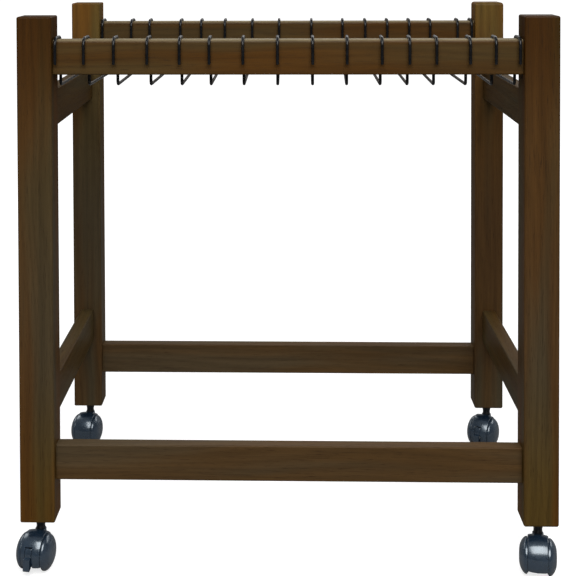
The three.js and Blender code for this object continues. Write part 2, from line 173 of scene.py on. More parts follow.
def loft(rings, matrix=None):
    """A closed body through rings that all have the same number of points, with flat ends."""
    count = len(rings[0])
    points = [p for ring in rings for p in ring]
    faces = []
    for r in range(len(rings) - 1):
        for i in range(count):
            j = (i + 1) % count
            faces.append((r * count + i, r * count + j, (r + 1) * count + j, (r + 1) * count + i))
    faces.append(tuple(range(count)))
    last = (len(rings) - 1) * count
    faces.append(tuple(range(last + count - 1, last - 1, -1)))
    return mesh_from(points, faces, matrix)


def rounded_outline(width, height, radii, steps=5):
    """A rectangle round the origin, with a radius per corner, anticlockwise from lower right."""
    x, y = width / 2, height / 2
    corners = [(x, -y, -90), (x, y, 0), (-x, y, 90), (-x, -y, 180)]
    outline = []
    for (cx, cy, start), radius in zip(corners, radii):
        ox, oy = cx - math.copysign(radius, cx), cy - math.copysign(radius, cy)
        for k in range(steps + 1):
            a = math.radians(start + 90 * k / steps)
            outline.append((ox + radius * math.cos(a), oy + radius * math.sin(a)))
    return outline


def eased(length, foot, top, steps=4):
    """(place along the length, how far the outline is drawn in) for rounded ends."""
    lower, upper = [], []
    for k in range(steps + 1):
        a = math.radians(90 * k / steps)
        lower.append((-length / 2 + foot * (1 - math.sin(a)), foot * (1 - math.cos(a))))
        upper.append((length / 2 - top * (1 - math.sin(a)), top * (1 - math.cos(a))))
    return sorted(lower) + sorted(upper)


def bar(length, width, height, radii, ease=(1.0, 1.0), matrix=None):
    """A bar along Z with its own radius at each long edge and rounded ends."""
    rings = []
    for along, inset in eased(length, *ease):
        drawn = [max(r - inset, 0.25) for r in radii]
        outline = rounded_outline(width - 2 * inset, height - 2 * inset, drawn)
        rings.append([(x, y, along) for x, y in outline])
    return loft(rings, matrix)


def lathe(profile, segments=64, matrix=None):
    """A body of revolution round X. The profile is (radius, place along X), from axis to axis."""
    points, index = [], []
    for radius, along in profile:
        if radius < 1e-6:
            index.append([len(points)])
            points.append((along, 0.0, 0.0))
            continue
        index.append(list(range(len(points), len(points) + segments)))
        for k in range(segments):
            a = 2 * math.pi * k / segments
            points.append((along, radius * math.cos(a), radius * math.sin(a)))
    faces = []
    for a, b in zip(index, index[1:]):
        for k in range(segments):
            n = (k + 1) % segments
            if len(a) == 1:
                faces.append((a[0], b[k], b[n]))
            elif len(b) == 1:
                faces.append((a[n], a[k], b[0]))
            else:
                faces.append((a[k], b[k], b[n], a[n]))
    return mesh_from(points, faces, matrix)


def rod(radius, start, end, segments=48, matrix=None):
    """A plain round rod along X."""
    return lathe([(0, start), (radius, start), (radius, end), (0, end)], segments, matrix)


def combine(base, additions=(), cuts=()):
    """The mesh left when other meshes are joined to a base and cut from it."""
    made = bpy.data.objects.new("base", base)
    bpy.context.scene.collection.objects.link(made)
    helpers = []
    for operation, meshes in (("UNION", additions), ("DIFFERENCE", cuts)):
        for mesh in meshes:
            helper = bpy.data.objects.new("helper", mesh)
            bpy.context.scene.collection.objects.link(helper)
            helpers.append(helper)
            step = made.modifiers.new(operation, "BOOLEAN")
            step.operation, step.solver, step.object = operation, "MANIFOLD", helper
    bpy.context.view_layer.update()
    evaluated = made.evaluated_get(bpy.context.evaluated_depsgraph_get())
    result = bpy.data.meshes.new_from_object(evaluated)
    for obj in [made] + helpers:
        bpy.data.objects.remove(obj)
    return result


def moulded(mesh, voxel, smoothing, keep):
    """Rounds every edge a little, as on a moulding: remeshed, smoothed and thinned out again."""
    made = bpy.data.objects.new("moulding", mesh)
    bpy.context.scene.collection.objects.link(made)
    remesh = made.modifiers.new("remesh", "REMESH")
    remesh.mode, remesh.voxel_size, remesh.use_smooth_shade = "VOXEL", voxel * MM, True
    smooth = made.modifiers.new("smooth", "SMOOTH")
    smooth.factor, smooth.iterations = 0.5, smoothing
    thin = made.modifiers.new("thin", "DECIMATE")
    thin.ratio = keep
    bpy.context.view_layer.update()
    evaluated = made.evaluated_get(bpy.context.evaluated_depsgraph_get())
    result = bpy.data.meshes.new_from_object(evaluated)
    bpy.data.objects.remove(made)
    return result


def place(x, y, z, turn=0.0):
    """Millimetres to the row frame, with a turn about Z in radians."""
    return Matrix.Translation(Vector((x, y, z)) * MM) @ Matrix.Rotation(turn, 4, "Z")


def box_mm(node):
    """The low corner, the high corner and the middle of a CAD node's box, in millimetres."""
    low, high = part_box(node)
    return low / MM, high / MM, (low + high) / 2 / MM


# ---- materials ----

def feed(tree, socket, value):
    """Links another node's output to an input, or sets the input's own value."""
    if isinstance(value, bpy.types.NodeSocket):
        tree.links.new(value, socket)
    else:
        socket.default_value = value


class Graph:
    """A small helper that adds nodes to a material and links them."""

    def __init__(self, name):
        self.material = bpy.data.materials.new(name)
        self.material.use_nodes = True
        self.tree = self.material.node_tree
        self.shader = self.tree.nodes["Principled BSDF"]

    def add(self, kind, inputs=None, **settings):
        node = self.tree.nodes.new(kind)
        for key, value in settings.items():
            setattr(node, key, value)
        for key, value in (inputs or {}).items():
            feed(self.tree, node.inputs[key], value)
        return node

    def noise(self, vector, scale, detail, roughness=0.5):
        return self.add("ShaderNodeTexNoise", {
            "Vector": vector, "Scale": scale, "Detail": detail, "Roughness": roughness,
        }).outputs["Fac"]

    def math(self, operation, a, b=0.0, clamp=False):
        return self.add("ShaderNodeMath", {0: a, 1: b}, operation=operation,
                        use_clamp=clamp).outputs[0]

    def mix(self, factor, a, b, blend="MIX"):
        node = self.add("ShaderNodeMix", data_type="RGBA", blend_type=blend)
        for key, value in ((0, factor), (6, a), (7, b)):
            feed(self.tree, node.inputs[key], value)
        return node.outputs[2]

    def spread(self, value, low, high, to_low=0.0, to_high=1.0, smooth=False):
        """A value from low to high becomes one from to_low to to_high, and stops there."""
        return self.add("ShaderNodeMapRange", {
            "Value": value, "From Min": low, "From Max": high, "To Min": to_low, "To Max": to_high,
        }, clamp=True, interpolation_type="SMOOTHSTEP" if smooth else "LINEAR").outputs["Result"]

    def ramp(self, value, stops, smooth=False):
        node = self.add("ShaderNodeValToRGB", {"Fac": value})
        node.color_ramp.interpolation = "EASE" if smooth else "LINEAR"
        elements = node.color_ramp.elements
        while len(elements) < len(stops):
            elements.new(0.5)
        for element, (position, color) in zip(elements, stops):
            element.position = position
            element.color = color if len(color) == 4 else (*color, 1.0)
        return node.outputs["Color"]

    def set(self, name, value):
        feed(self.tree, self.shader.inputs[name], value)


def grey(value):
    return (value, value, value, 1.0)


def edge_mask(graph, radius, low=0.02, high=0.25):
    """1 along edges that hands and tools rub, and where wood gets a painted highlight, 0 on flats."""
    bevel = graph.add("ShaderNodeBevel", {"Radius": radius}, samples=4)
    geometry = graph.add("ShaderNodeNewGeometry")
    same = graph.add("ShaderNodeVectorMath", {0: bevel.outputs[0], 1: geometry.outputs["Normal"]},
                     operation="DOT_PRODUCT").outputs["Value"]
    return graph.spread(graph.math("SUBTRACT", 1.0, same), low, high)


def walnut(name, along, seed, olive, red, light_by_height=None, sheen_on_top=False):
    """Stained and lacquered wood with its grain along one axis of the row frame."""
    rng = random.Random(seed)
    graph = Graph(name)
    coords = graph.add("ShaderNodeTexCoord").outputs["Object"]
    shift = tuple(rng.uniform(-5, 5) for _ in range(3))
    tilt = [rng.uniform(-0.006, 0.006) for _ in range(3)]

    def grain_space(across, lengthwise):
        scale = [across] * 3
        scale["XYZ".index(along)] = lengthwise
        return graph.add("ShaderNodeMapping", {
            "Vector": coords, "Location": shift, "Rotation": tilt, "Scale": scale,
        }).outputs[0]

    warp = graph.add("ShaderNodeTexNoise", {
        "Vector": grain_space(9.0, 2.2), "Scale": 1.0, "Detail": 2.0,
    }).outputs["Color"]
    bent = graph.add("ShaderNodeVectorMath", {0: warp, 1: (0.5, 0.5, 0.5)},
                     operation="SUBTRACT").outputs[0]

    def warped(vector, amount):
        moved = graph.add("ShaderNodeVectorMath", {0: bent, "Scale": amount},
                          operation="SCALE").outputs[0]
        return graph.add("ShaderNodeVectorMath", {0: vector, 1: moved}, operation="ADD").outputs[0]

    streaks = graph.noise(warped(grain_space(75.0, 2.6), 0.9), 1.0, 3.0, 0.55)
    patches = graph.noise(warped(grain_space(26.0, 2.4), 0.6), 1.0, 2.0)
    rings = graph.add("ShaderNodeTexWave", {
        "Vector": warped(grain_space(60.0, 1.1), 2.4), "Scale": 1.0, "Distortion": 5.0,
        "Detail": 3.0, "Detail Scale": 1.2, "Detail Roughness": 0.6,
    }, wave_type="BANDS", bands_direction="DIAGONAL").outputs["Fac"]
    fibres = graph.noise(grain_space(900.0, 14.0), 1.0, 3.0, 0.6)
    pores = graph.spread(graph.noise(grain_space(1500.0, 55.0), 1.0, 1.0), 0.62, 0.74)

    tone = graph.ramp(patches, [(0.36, olive), (0.64, red)], smooth=True)
    for share, mask, stops in (
        (1.0, streaks, [(0.25, grey(0.8)), (0.5, grey(1.0)), (0.75, grey(1.2))]),
        (0.5, rings, [(0.0, grey(0.84)), (0.55, grey(1.04)), (1.0, grey(1.1))]),
        (0.8, fibres, [(0.3, grey(0.86)), (0.7, grey(1.14))]),
    ):
        tone = graph.mix(share, tone, graph.ramp(mask, stops), "MULTIPLY")
    tone = graph.mix(graph.math("MULTIPLY", pores, 0.55), tone, GRAIN_DARK)
    # Painted light and shade along the leg's height.
    if light_by_height:
        level = graph.add("ShaderNodeSeparateXYZ", {0: coords}).outputs["Z"]
        share = graph.math("DIVIDE", level, LEG_TOP * MM)
        tone = graph.mix(1.0, tone, graph.ramp(share, light_by_height, smooth=True), "MULTIPLY")
    patchiness = graph.noise(grain_space(120.0, 20.0), 1.0, 2.0)
    # Lighter edges: partly wear, partly a painted highlight along the rounded edges.
    lighter_tone = graph.mix(1.0, tone, EDGE_WEAR_AND_HIGHLIGHT, "MULTIPLY")
    edge_share = graph.math("MULTIPLY", edge_mask(graph, 1.6 * MM), graph.math("MULTIPLY", patchiness, 0.5))
    tone = graph.mix(edge_share, tone, lighter_tone)
    # Painted sheen: faces that look up are lightened towards a pale tan, in patches.
    if sheen_on_top:
        normal = graph.add("ShaderNodeNewGeometry").outputs["Normal"]
        upward = graph.add("ShaderNodeSeparateXYZ", {0: normal}).outputs["Z"]
        share = graph.spread(upward, 0.35, 0.95, 0.0, 0.8)
        share = graph.math("MULTIPLY", share, graph.math("ADD", patchiness, 0.35), clamp=True)
        tone = graph.mix(share, tone, TOP_SHEEN_TINT)
    graph.set("Base Color", tone)

    rough = graph.spread(fibres, 0.2, 0.8, 0.36, 0.5)
    graph.set("Roughness", graph.math("ADD", rough, graph.math("MULTIPLY", pores, 0.15)))
    facing = graph.add("ShaderNodeLayerWeight", {"Blend": 0.5}).outputs["Facing"]
    sheen = graph.ramp(facing, [(0.45, grey(WOOD_SHEEN)), (0.8, grey(GRAZING_SHEEN))])
    graph.set("Specular IOR Level", sheen)
    lift = graph.math("SUBTRACT", graph.math("MULTIPLY", fibres, 0.5), pores)
    bump = graph.add("ShaderNodeBump", {"Height": lift, "Strength": 0.22, "Distance": 0.12 * MM})
    graph.set("Normal", bump.outputs[0])
    return graph.material


def moulded_plastic(name, color, seed):
    """Glossy slate plastic with a faint moulding ripple, a fine stipple, scuffs and paler edges."""
    rng = random.Random(seed)
    graph = Graph(name)
    coords = graph.add("ShaderNodeTexCoord").outputs["Object"]
    shift = tuple(rng.uniform(-3, 3) for _ in range(3))
    space = graph.add("ShaderNodeMapping", {"Vector": coords, "Location": shift}).outputs[0]
    cloud = graph.noise(space, 55.0, 3.0)
    ripple = graph.noise(space, 120.0, 1.0)
    stipple = graph.noise(space, 2600.0, 1.0)
    scratch_space = graph.add("ShaderNodeMapping", {
        "Vector": space, "Rotation": (0.4, 0.9, 0.3), "Scale": (260.0, 2600.0, 900.0),
    }).outputs[0]
    scuff = graph.spread(graph.noise(scratch_space, 1.0, 2.0), 0.64, 0.74)
    deep = tuple(c * 0.78 for c in color)
    pale = tuple(c * 1.25 for c in color)
    tone = graph.ramp(cloud, [(0.3, deep), (0.7, pale)])
    edge_share = edge_mask(graph, 0.8 * MM, 0.03, 0.35)
    tone = graph.mix(graph.math("MULTIPLY", edge_share, 0.35), tone, SLATE_EDGE)
    tone = graph.mix(graph.math("MULTIPLY", scuff, 0.12), tone, SLATE_SCUFF)
    graph.set("Base Color", tone)
    rough = graph.spread(cloud, 0.25, 0.75, 0.2, 0.34)
    graph.set("Roughness", graph.math("ADD", rough, graph.math("MULTIPLY", scuff, 0.18)))
    facing = graph.add("ShaderNodeLayerWeight", {"Blend": 0.5}).outputs["Facing"]
    sheen = graph.ramp(facing, [(0.35, grey(1.0)), (0.75, grey(0.35)), (0.95, grey(0.05))],
                       smooth=True)
    graph.set("Specular IOR Level", sheen)
    graph.set("Specular Tint", (0.8, 0.92, 1.0, 1.0))
    graph.set("Coat Weight", graph.math("MULTIPLY", sheen, 0.8))
    graph.set("Coat Roughness", 0.16)
    graph.set("Coat IOR", 1.6)
    graph.set("Coat Tint", (0.92, 0.97, 1.0, 1.0))
    waves = graph.add("ShaderNodeBump", {"Height": ripple, "Strength": 0.12, "Distance": 0.6 * MM})
    grain = graph.add("ShaderNodeBump", {
        "Height": stipple, "Strength": 0.08, "Distance": 0.03 * MM, "Normal": waves.outputs[0],
    })
    graph.set("Normal", grain.outputs[0])
    return graph.material


def metal(name, color, metallic, roughness, lighter_tone, brushed, seed, sheen=0.5):
    """Coated or plated steel with a cloudy sheen, fine marks and small worn spots."""
    rng = random.Random(seed)
    graph = Graph(name)
    coords = graph.add("ShaderNodeTexCoord").outputs["Object"]
    space = graph.add("ShaderNodeMapping", {
        "Vector": coords, "Location": tuple(rng.uniform(-3, 3) for _ in range(3)),
    }).outputs[0]
    cloud = graph.noise(space, 160.0, 4.0)
    fine_space = graph.add("ShaderNodeMapping", {"Vector": space, "Scale": brushed}).outputs[0]
    fine = graph.noise(fine_space, 1.0, 2.0)
    dim = tuple(c * 0.75 for c in color)
    lit = tuple(c * 1.3 for c in color)
    tone = graph.ramp(cloud, [(0.3, dim), (0.7, lit)])
    spots = graph.spread(fine, 0.66, 0.76)
    graph.set("Base Color", graph.mix(graph.math("MULTIPLY", spots, 0.3), tone, lighter_tone))
    graph.set("Roughness", graph.spread(cloud, 0.25, 0.75, roughness - 0.07, roughness + 0.09))
    graph.set("Metallic", metallic)
    graph.set("Specular IOR Level", sheen)
    bump = graph.add("ShaderNodeBump", {"Height": fine, "Strength": 0.15, "Distance": 0.05 * MM})
    graph.set("Normal", bump.outputs[0])
    return graph.material


WOOD_SHEEN, GRAZING_SHEEN = 0.11, 0.02  # seen squarely, and seen at a grazing angle
LEG_OLIVE, LEG_RED = (0.056, 0.036, 0.015), (0.066, 0.029, 0.0075)
RAIL_STAIN = {  # the two tones that each kind of rail's wood drifts between
    "hanging": ((0.058, 0.034, 0.010), (0.064, 0.026, 0.0035)),
    "lower": ((0.070, 0.047, 0.023), (0.076, 0.040, 0.013)),
    "side": ((0.060, 0.042, 0.017), (0.062, 0.033, 0.009)),
}
GRAIN_DARK = (0.016, 0.008, 0.003, 1.0)
EDGE_WEAR_AND_HIGHLIGHT = (1.9, 1.75, 1.5, 1.0)  # how much lighter an edge is, for wear and a painted highlight along the rounded edge
TOP_SHEEN_TINT = (0.27, 0.22, 0.13, 1.0)  # painted sheen on the up-facing top of a hanging rail
LEG_LIGHT_BY_HEIGHT = {  # painted light and shade along each leg's height, brightest at the back legs' tops: (share of the leg's top, tint)
    "front": [(0.1, (1.3, 1.18, 0.55)), (0.4, (1.05, 1.14, 1.3)), (0.75, (0.95, 0.98, 0.9)),
              (1.0, (0.6, 0.5, 0.12))],
    "back": [(0.1, (1.15, 1.35, 1.7)), (0.5, (0.92, 1.03, 1.25)), (0.8, (1.15, 1.2, 1.0)),
             (1.0, (1.8, 1.75, 0.9))],
}
SLATE = (0.0095, 0.021, 0.038)
SLATE_EDGE, SLATE_SCUFF = (0.10, 0.12, 0.15, 1.0), (0.12, 0.13, 0.15, 1.0)

WIRE_COAT = metal("hanger_wire", (0.006, 0.0062, 0.007), 0.0, 0.2, (0.04, 0.044, 0.05, 1.0),
                  (900.0, 300.0, 900.0), 3, 0.28)
STEM_COAT = metal("stem_steel", (0.012, 0.0125, 0.014), 0.3, 0.36, (0.2, 0.2, 0.2, 1.0),
                  (900.0, 900.0, 300.0), 4)
ZINC = metal("zinc_steel", (0.42, 0.43, 0.44), 1.0, 0.34, (0.6, 0.6, 0.6, 1.0),
             (300.0, 1500.0, 1500.0), 5)


# ---- wooden frame ----

def screw_bore(center, height, outward):
    """The bore and counterbore of one connector screw, from the outer side face of a leg."""
    face = LEG_WIDE / 2
    seat = SCREW_HEAD_HIGH + SCREW_SUNK + FIT_GAP
    shank, head = SCREW_SHANK + FIT_GAP, SCREW_HEAD + FIT_GAP
    soft = 0.5
    profile = [
        (0, -face - PAST), (shank, -face - PAST), (shank, face - seat), (head, face - seat),
        (head, face - soft), (head + soft + 0.05, face + 0.05), (head + soft + 0.05, face + PAST),
        (0, face + PAST),
    ]
    turn = 0.0 if outward > 0 else math.pi
    return lathe(profile, 40, place(center.x, center.y, height, turn))


def build_leg(end, side, seed):
    node = f"leg_{end}_{side}"
    low, high, center = box_mm(node)
    top_ease, foot_ease = LEG_ENDS[f"{end}_{side}"]
    body = bar(high.z - low.z, high.x - low.x, high.y - low.y, [LEG_EDGE] * 4,
               (foot_ease, top_ease), place(center.x, center.y, center.z))
    cuts = []
    outward = 1 if side == "right" else -1
    for rail in (f"hanging_rail_{end}", f"lower_rail_{end}"):
        cuts.append(screw_bore(center, box_mm(rail)[2].z, outward))
    inward = -1 if end == "back" else 1
    for rail in (f"side_rail_upper_{side}", f"side_rail_lower_{side}"):
        rail_low, rail_high, rail_center = box_mm(rail)
        tall = rail_high.z - rail_low.z - 2 * TENON_SHOULDER + 2 * FIT_GAP
        deep = TENON_LONG + PAST + FIT_GAP
        thick = TENON_THICK + 2 * FIT_GAP
        y = center.y + inward * (LEG_WIDE / 2 + PAST - deep / 2)
        cuts.append(bar(tall, thick, deep, [0.3] * 4, (0.1, 0.1),
                        place(center.x, y, rail_center.z)))
    cuts.append(rod(STUD_RADIUS + FIT_GAP, -PAST, STUD_BORE, 40,
                    place(center.x, center.y, low.z) @ UPRIGHT))
    mesh = combine(body, cuts=cuts)
    material = walnut(f"leg_wood_{end}_{side}", "Z", seed, LEG_OLIVE, LEG_RED, LEG_LIGHT_BY_HEIGHT[end])
    return new_piece(f"{node}_wood", mesh, node, material)


def build_long_rail(node, kind, seed):
    low, high, center = box_mm(node)
    top, bottom = RAIL_EDGES[kind]
    lay = Matrix.Rotation(math.pi / 2, 4, "Z") @ Matrix.Rotation(math.pi / 2, 4, "X")
    body = bar(high.x - low.x, high.y - low.y, high.z - low.z, [bottom, top, top, bottom],
               (0.4, 0.4), place(*center) @ lay)
    half = (high.x - low.x) / 2
    shank = SCREW_SHANK + FIT_GAP
    cuts = [rod(shank, half - SCREW_BORE, half + PAST, 40, place(*center, turn))
            for turn in (0.0, math.pi)]
    mesh = combine(body, cuts=cuts)
    material = walnut(f"rail_wood_{node}", "X", seed, *RAIL_STAIN[kind],
                      sheen_on_top=kind == "hanging")
    return new_piece(f"{node}_wood", mesh, node, material)


def build_side_rail(node, seed):
    low, high, center = box_mm(node)
    top, bottom = RAIL_EDGES["side"]
    long = high.y - low.y
    lay = Matrix.Rotation(math.pi, 4, "Z") @ Matrix.Rotation(math.pi / 2, 4, "X")
    body = bar(long - 2 * TENON_LONG, high.x - low.x, high.z - low.z,
               [bottom, top, top, bottom], (0.4, 0.4), place(*center) @ lay)
    tenon = bar(long, TENON_THICK, high.z - low.z - 2 * TENON_SHOULDER, [0.6] * 4,
                (1.2, 1.2), place(*center) @ lay)
    mesh = combine(body, additions=[tenon])
    material = walnut(f"rail_wood_{node}", "Y", seed, *RAIL_STAIN["side"])
    return new_piece(f"{node}_wood", mesh, node, material)


def build_screws():
    """Eight hex-socket connector screws, each along X with its head in a leg's outer face."""
    head_top = LEG_FACE - SCREW_SUNK
    neck, tip = head_top - SCREW_HEAD_HIGH, RAIL_END - SCREW_BITE
    profile = [(0, tip), (SCREW_SHANK / 2, tip), (SCREW_SHANK, tip + 5)]
    root = SCREW_SHANK - THREAD_DEEP
    along = tip + 6
    while along < RAIL_END - 2:
        profile += [(SCREW_SHANK, along), (root, along + 0.25 * THREAD_PITCH),
                    (root, along + 0.5 * THREAD_PITCH), (SCREW_SHANK, along + 0.75 * THREAD_PITCH)]
        along += THREAD_PITCH
    profile += [(SCREW_SHANK, neck), (SCREW_HEAD - 0.2, neck), (SCREW_HEAD, neck + 0.2),
                (SCREW_HEAD, head_top - 0.7), (SCREW_HEAD - 0.25, head_top - 0.2),
                (SCREW_HEAD - 0.8, head_top), (0, head_top)]
    body = lathe(profile, 40)
    socket = rod(HEX_ACROSS / math.sqrt(3), head_top - HEX_DEEP, head_top + PAST, 6)
    mesh = combine(body, cuts=[socket])
    for level, rail in (("upper", "hanging"), ("lower", "lower")):
        for end in ("front", "back"):
            rail_center = box_mm(f"{rail}_rail_{end}")[2]
            for side, turn in (("left", math.pi), ("right", 0.0)):
                node = f"screw_{level}_{end}_{side}"
                own = mesh.copy()
                own.transform(place(*rail_center, turn))
                new_piece(f"{node}_steel", own, node, ZINC)


# ---- hanger bars ----

def hanger_points(apart):
    """Points (y, z) along the wire from free end to free end, over rails that far apart."""
    top = WIRE_RADIUS + FIT_GAP

    def arc(y, z, radius, start, end, steps):
        return [(y + radius * math.cos(math.radians(start + (end - start) * i / steps)),
                 z + radius * math.sin(math.radians(start + (end - start) * i / steps)))
                for i in range(steps + 1)]

    half = apart / 2
    outer, inner = -half - HOOK_WIDE / 2, -half + HOOK_WIDE / 2
    bottom = top - HOOK_DROP
    path = [(outer, top - HOOK_FREE), (outer, top - HOOK_FREE * 0.75), (outer, top - HOOK_FREE / 2)]
    path += arc(outer + HOOK_CORNER, top - HOOK_CORNER, HOOK_CORNER, 180, 90, 9)
    path += arc(inner - HOOK_CORNER, top - HOOK_CORNER, HOOK_CORNER, 90, 0, 9)
    path += [(inner, top - HOOK_DROP * 0.4), (inner, top - HOOK_DROP * 0.65)]
    path += arc(inner + BAR_CORNER, bottom + BAR_CORNER, BAR_CORNER, 180, 270, 7)
    path += [(inner * k / 6, bottom) for k in range(5, 0, -1)]
    mirrored = [(-y, z) for y, z in reversed(path)]
    return path + [(0.0, bottom)] + mirrored


def tube(points, radius, sides=14):
    """A wire of round section through points that lie in one plane, with domed ends."""
    rings = []
    across = Vector((1, 0, 0))
    count = len(points)

    def tangent(i):
        return (points[min(i + 1, count - 1)] - points[max(i - 1, 0)]).normalized()

    def ring(center, direction, size):
        other = direction.cross(across).normalized()
        return [tuple(center + (across * math.cos(a) + other * math.sin(a)) * size)
                for a in (2 * math.pi * k / sides for k in range(sides))]

    def dome(end, along, inwards, angles):
        for a in map(math.radians, angles):
            drawn = radius * DOME_FLAT * (1 - math.sin(a))
            rings.append(ring(end + along * inwards * drawn, along, radius * math.cos(a)))

    angles = (20, 42, 64, 82)
    dome(points[0], tangent(0), 1, reversed(angles))
    for i, point in enumerate(points[1:-1], 1):
        rings.append(ring(point, tangent(i), radius))
    dome(points[-1], tangent(count - 1), -1, angles)
    return rings


def build_hanger(number):
    node = f"hanger_{number:02d}"
    verts = [v.co / MM for v in NODES[node].data.vertices]
    low, high, _ = box_mm(node)
    near = [v.x for v in verts if v.y < low.y + 3 * WIRE_RADIUS]
    far = [v.x for v in verts if v.y > high.y - 3 * WIRE_RADIUS]
    front_x, back_x = (min(near) + max(near)) / 2, (min(far) + max(far)) / 2
    front_y, back_y = box_mm("hanging_rail_front")[2].y, box_mm("hanging_rail_back")[2].y
    rail_top = box_mm("hanging_rail_front")[1].z
    turn = math.atan((front_x - back_x) / (high.y - low.y))
    middle = ((front_x + back_x) / 2, (front_y + back_y) / 2)
    rings = tube([Vector((0, y, z)) for y, z in hanger_points(back_y - front_y)], WIRE_RADIUS)
    mesh = loft(rings, place(*middle, rail_top, turn))
    return new_piece(f"{node}_wire", mesh, node, WIRE_COAT, crease=60)


# ---- casters ----

def on_axle(angle, radius, across):
    """A point round the axle in a caster's own frame. Angle 0 is along the trail, 90 is up."""
    a = math.radians(angle)
    return (across, -TRAIL - radius * math.cos(a), AXLE_HEIGHT + radius * math.sin(a))


def band(inner, outer, start, end, width, edge=0.3, aside=0.0, steps=None):
    """A curved strip round the axle with rounded long edges."""
    steps = steps or max(4, int(abs(end - start) / 3))
    outline = rounded_outline(width, outer - inner, [edge] * 4, 3)
    middle = (inner + outer) / 2
    rings = []
    for k in range(steps + 1):
        angle = start + (end - start) * k / steps
        rings.append([on_axle(angle, middle + r, x + aside) for x, r in outline])
    return loft(rings)


def smoothstep(value, low, high):
    """0 below low, 1 above high and an even S between them."""
    share = min(max((value - low) / (high - low), 0.0), 1.0)
    return share * share * (3 - 2 * share)


def shell():
    """The hood's shell: a band round the axle, crowned across and swelling towards its top."""
    half, steps = HOOD_WIDE / 2, 62
    across = [half * math.sin(math.radians(90 * j / 10)) for j in range(-10, 11)]
    rings = []
    for k in range(steps + 1):
        angle = SKIRT_ANGLE + (NOSE_ANGLE - SKIRT_ANGLE) * k / steps
        outer = HOOD_OUTER + SWELL_HIGH * smoothstep(angle, SWELL_FROM, SWELL_TO)
        ring = [on_axle(angle, HOOD_INNER, half), on_axle(angle, HOOD_INNER, -half)]
        for x in across:
            past = max(abs(x) - half + HOOD_EDGE, 0.0)
            drop = HOOD_CROWN * (x / half) ** 2
            drop += HOOD_EDGE - math.sqrt(max(HOOD_EDGE ** 2 - past ** 2, 0.0))
            ring.append(on_axle(angle, outer - drop, x))
        rings.append(ring)
    return loft(rings)


def across_rod(radius, length, angle=0.0, distance=0.0, aside=0.0, segments=40):
    """A rod parallel to the axle, at a place round it."""
    x, y, z = on_axle(angle, distance, aside)
    return rod(radius, -length / 2, length / 2, segments, place(x, y, z))


def upright_rod(radius, low, high, segments=48):
    """A rod along the swivel axis."""
    return rod(radius, low, high, segments, UPRIGHT)


def hood_mesh(braked):
    """Shell, web, hub and stem socket in one moulding. A braked one has a slot and two ears."""
    web_start = WEB_ANGLE_BRAKED if braked else WEB_ANGLE
    additions = [
        band(HUB_RADIUS - SUNK_IN, HOOD_INNER + SUNK_IN, web_start, NOSE_ANGLE, WEB_WIDE),
        across_rod(HUB_RADIUS, WEB_WIDE + 1.0),
        upright_rod(SOCKET_RADIUS, SOCKET_FOOT, SOCKET_TOP),
    ]
    slot = LEVER_WIDE + 2 * LEVER_GAP
    cuts = []
    if braked:
        additions.append(band(LUG_IN, HOOD_INNER + SUNK_IN, PIVOT_ANGLE - LUG_HALF,
                              PIVOT_ANGLE + LUG_HALF, slot + 2 * EAR, aside=LEVER_ASIDE))
        cuts.append(band(LUG_IN - 2, HOOD_OUTER + 4, SLOT_FROM, PIVOT_ANGLE + LUG_HALF + 3, slot,
                         aside=LEVER_ASIDE))
        cuts.append(across_rod(PIVOT_PIN + FIT_GAP, slot + 3 * EAR, PIVOT_ANGLE, PIVOT_AT,
                               LEVER_ASIDE, 24))
    cuts.append(across_rod(AXLE_RADIUS + FIT_GAP, 2 * HOOD_WIDE))
    cuts.append(upright_rod(STUD_RADIUS + FIT_GAP, STEM_FOOT - 0.5, SOCKET_TOP + 2, 40))
    cuts.append(upright_rod(NECK_RADIUS + 0.6, SOCKET_TOP, SOCKET_TOP + HOOD_OUTER))
    return moulded(combine(shell(), additions, cuts), 0.4, 4, 0.3)


def lever_mesh():
    """A blade in the hood's slot, a lug round its pivot, and a toe that stands out."""
    top = PIVOT_ANGLE + LUG_HALF
    blade = band(LEVER_INNER, LEVER_OUTER, LEVER_END, top, LEVER_WIDE, 0.5, LEVER_ASIDE)

    def corner(angle, radius):
        a = math.radians(angle)
        return radius * math.cos(a), radius * math.sin(a)

    side = [corner(LEVER_FOOT + 2, LEVER_OUTER - 0.05), corner(LEVER_FOOT + 2, LEVER_INNER + 0.05),
            corner(LEVER_FOOT, LEVER_INNER), *reversed(TOE), corner(LEVER_FOOT, LEVER_OUTER)]
    half = LEVER_WIDE / 2 + 0.05
    toe = loft([[(x + LEVER_ASIDE, -TRAIL - out, AXLE_HEIGHT + up) for out, up in side]
                for x in (-half, half)])
    additions = [
        band(LUG_IN, LEVER_INNER + SUNK_IN, top - 2 * LUG_HALF, top, LEVER_WIDE - 0.1,
             aside=LEVER_ASIDE),
        toe,
        across_rod(PIVOT_PIN, LEVER_WIDE + 2 * EAR, PIVOT_ANGLE, PIVOT_AT, LEVER_ASIDE, 24),
    ]
    return moulded(combine(blade, additions), 0.3, 3, 0.35)


def wheel_mesh(side):
    """One wheel: a domed outer face with faint rings, a dished inner one with a bore, a narrow
    tread, and a lip that reaches in under the hood's skirt."""
    inside = HOOD_WIDE / 2 + FIT_GAP
    bore = AXLE_RADIUS + FIT_GAP
    bore_end = AXLE_LONG / 2 + FIT_GAP
    rim, lip, lip_face = WHEEL_RADIUS, HOOD_INNER - 0.6, inside - WHEEL_LIP
    profile = [
        (0, bore_end), (bore, bore_end), (bore, inside + 0.3), (bore + 0.3, inside), (7, inside),
        (7.6, inside + 0.6), (8.2, inside + 2.8), (17.6, inside + 2.8), (18.4, inside + 0.5),
        (18.8, lip_face), (lip - 0.3, lip_face), (lip, lip_face + 0.3), (lip, inside),
        (rim - 0.3, inside), (rim - 0.1, inside + 0.08), (rim, inside + 0.3), (rim, inside + 1.3),
    ]
    profile += [(radius, inside + out) for radius, out in WHEEL_SIDE]
    return lathe(profile, 72, place(0, -TRAIL, AXLE_HEIGHT, 0.0 if side > 0 else math.pi))


